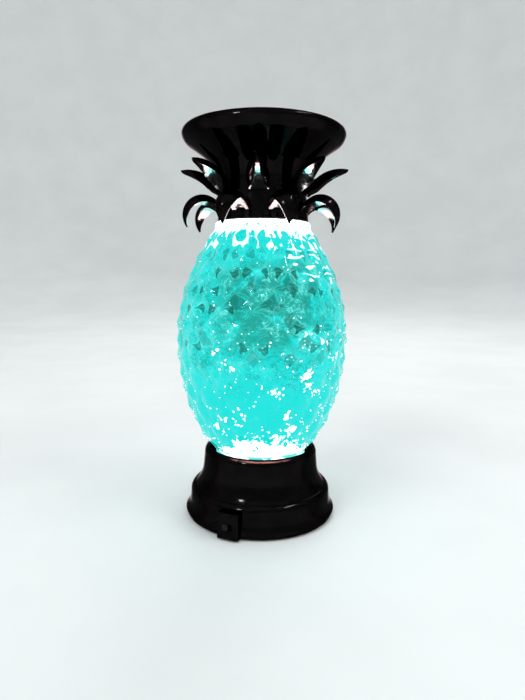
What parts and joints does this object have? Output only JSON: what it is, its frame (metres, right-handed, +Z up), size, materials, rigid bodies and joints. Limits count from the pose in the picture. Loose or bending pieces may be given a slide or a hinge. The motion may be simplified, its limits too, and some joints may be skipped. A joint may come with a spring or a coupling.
{
  "type": "liquid motion lamp",
  "caption": "Pineapple liquid motion lamp: a clear bossed vessel of glitter liquid on a round battery base, with two tiers of curled leaves and a flared dish that holds a candle.",
  "frame": {"origin": "on the surface the lamp stands on, under the axis of the vessel", "axes": "+Z up along the vessel's axis; -Y is the pictured front, +X is to the right seen from it"},
  "size_m": [0.1238, 0.1238, 0.282],
  "materials": {
    "plated_plastic": "vacuum plated, near black with a rose tint, high gloss",
    "black_plastic": "moulded, fine texture",
    "inner_plastic": "moulded, plain",
    "clear_plastic": "clear moulded",
    "diffuser": "frosted",
    "vessel_clear": "clear, moulded pineapple relief",
    "liquid": "clear liquid lit cyan",
    "glitter": "foil flakes",
    "rubber": "soft, matt",
    "steel": "zinc plated",
    "nickel": "nickel plated strip",
    "magnet": "nickel plated",
    "cell_jacket": "plain sleeve over a metal can",
    "board": "glass fibre board",
    "led": "water clear lamps",
    "wire_red": "insulated lead",
    "wire_black": "insulated lead"
  },
  "bodies": {
    "lamp": {"base_housing": "plated_plastic", "bottom_plate": "black_plastic", "bottom_screws": "steel", "rubber_foot_1": "rubber", "rubber_foot_2": "rubber", "rubber_foot_3": "rubber", "rubber_foot_4": "rubber", "battery_1": "cell_jacket", "battery_2": "cell_jacket", "battery_3": "cell_jacket", "contact_negative": "nickel", "contact_link_left": "nickel", "contact_link_right": "nickel", "contact_positive": "nickel", "switch_body": "inner_plastic", "switch_screws": "steel", "led_board": "board", "leds": "led", "motor_bracket": "steel", "bracket_screws": "steel", "motor_can": "steel", "motor_end_cap": "inner_plastic", "motor_screws": "steel", "light_diffuser": "diffuser", "vessel_screws": "steel", "bottom_plug": "clear_plastic", "plug_seal": "rubber", "impeller_pin": "steel", "impeller_guard": "clear_plastic", "vessel": "vessel_clear", "liquid": "liquid", "glitter_flakes": "glitter", "vessel_gasket": "rubber", "fill_stopper": "rubber", "neck_seal": "rubber", "lower_leaf_ring": "plated_plastic", "upper_leaf_ring": "plated_plastic", "candle_dish": "plated_plastic", "candle_tray": "plated_plastic", "crown_screws": "steel", "wire_cell_to_switch": "wire_red", "wire_switch_to_board": "wire_red", "wire_cell_to_board": "wire_black", "motor_lead_red": "wire_red", "motor_lead_black": "wire_black"},
    "knob": {"switch_knob": "black_plastic"},
    "door": {"battery_door": "black_plastic", "door_screw": "steel"},
    "rotor": {"motor_shaft": "steel", "magnet_carrier": "inner_plastic", "drive_magnets": "magnet"},
    "impeller": {"impeller": "clear_plastic", "impeller_magnets": "magnet"}
  },
  "joints": [
    {"name": "knob_slide", "type": "slide", "parent": "lamp", "child": "knob", "axis": [0.9304, -0.3665, 0], "range_m": [0, 0.0025]},
    {"name": "door_hinge", "type": "hinge", "parent": "lamp", "child": "door", "pos_m": [0, 0.02365, 0.0027], "axis": [1, 0, 0], "range_deg": [0, 95]},
    {"name": "rotor_spin", "type": "hinge", "parent": "lamp", "child": "rotor", "pos_m": [0, 0, 0.0385], "axis": [0, 0, 1], "continuous": true},
    {"name": "impeller_spin", "type": "hinge", "parent": "lamp", "child": "impeller", "pos_m": [0, 0, 0.0473], "axis": [0, 0, 1], "continuous": true}
  ],
  "couplings": [
    {"joint": "impeller_spin", "follows": "rotor_spin", "ratio": 1}
  ]
}
